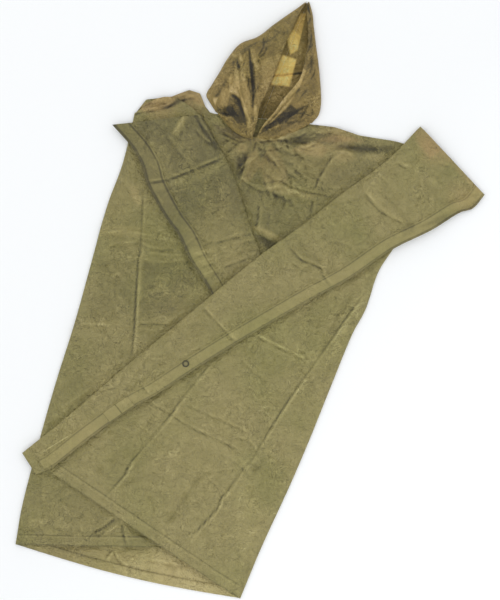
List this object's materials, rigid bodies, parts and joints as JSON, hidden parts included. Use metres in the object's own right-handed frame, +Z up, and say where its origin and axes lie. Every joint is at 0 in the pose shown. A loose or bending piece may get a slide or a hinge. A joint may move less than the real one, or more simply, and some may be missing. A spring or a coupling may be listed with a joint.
{
  "type": "rain poncho",
  "caption": "Hooded rain poncho of coated cloth laid flat, with its open sides folded in over the front and turned back, and a pointed hood.",
  "frame": {"origin": "middle of the poncho's box, on the surface that it lies on", "axes": "+Z up from the surface, +Y from the hem to the point of the hood, +X to the poncho's left side as it is worn"},
  "size_m": [1.0026, 1.2762, 0.0352],
  "materials": {
    "coated_cloth": "soft olive drab vinyl film with a low sheen and fine wrinkles",
    "welded_band": "two welded layers of the same olive drab vinyl film",
    "hood_cloth": "thin olive brown vinyl film that light shines through",
    "press_stud": "moulded olive plastic"
  },
  "bodies": {
    "root": {"back": "coated_cloth", "front": "coated_cloth", "back_hem": "coated_cloth", "side_band_left": "welded_band", "side_band_right": "welded_band", "snap_tab_1": "welded_band", "snap_tab_2": "welded_band", "snap_cap": "press_stud", "hood_left": "hood_cloth", "hood_right": "hood_cloth", "hood_casing_left": "hood_cloth", "hood_casing_right": "hood_cloth"}
  },
  "joints": []
}
